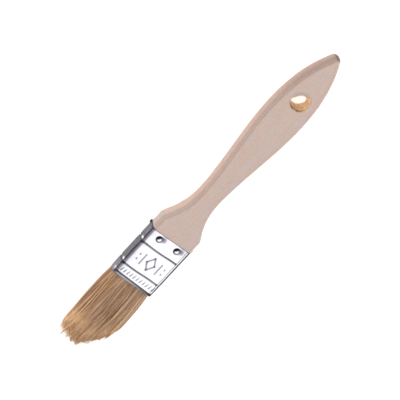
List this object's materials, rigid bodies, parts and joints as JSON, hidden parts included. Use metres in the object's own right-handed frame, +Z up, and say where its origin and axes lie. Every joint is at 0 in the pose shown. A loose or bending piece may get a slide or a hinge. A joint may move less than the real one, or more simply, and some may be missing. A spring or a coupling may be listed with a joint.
{
  "type": "pastry brush",
  "caption": "Flat natural-bristle pastry brush: shaped bare-wood handle with a hanging hole, grooved tinned-steel ferrule held by domed nails, and a flexible bristle tuft.",
  "frame": {"origin": "On the surface that the brush lies on, under the middle of its length and width", "axes": "+X towards the bristle tips, +Y across the brush, +Z up, out of the front face with the pressed marks"},
  "size_m": [0.206, 0.026, 0.01],
  "materials": {
    "bare_wood": "sanded, unvarnished",
    "tinplate": "bright tinned, lightly brushed",
    "nail_steel": "bright, slightly worn",
    "setting_resin": "cured resin, hidden",
    "plug_wood": "rough sawn, hidden",
    "bristle": "natural hog bristle, satin"
  },
  "bodies": {
    "brush_body": {"handle": "bare_wood", "ferrule": "tinplate", "nail_front_left": "nail_steel", "nail_front_right": "nail_steel", "nail_back_left": "nail_steel", "nail_back_right": "nail_steel", "setting": "setting_resin", "divider": "plug_wood", "bristle_row_front": "bristle", "bristle_row_back": "bristle"},
    "tuft": {"bristle_tuft": "bristle"}
  },
  "joints": [
    {"name": "tuft_flex", "type": "hinge", "parent": "brush_body", "child": "tuft", "pos_m": [0.07, 0, 0.005], "axis": [0, -1, 0], "range_deg": [0, 30], "stiffness_Nm_per_rad": 0.06}
  ]
}
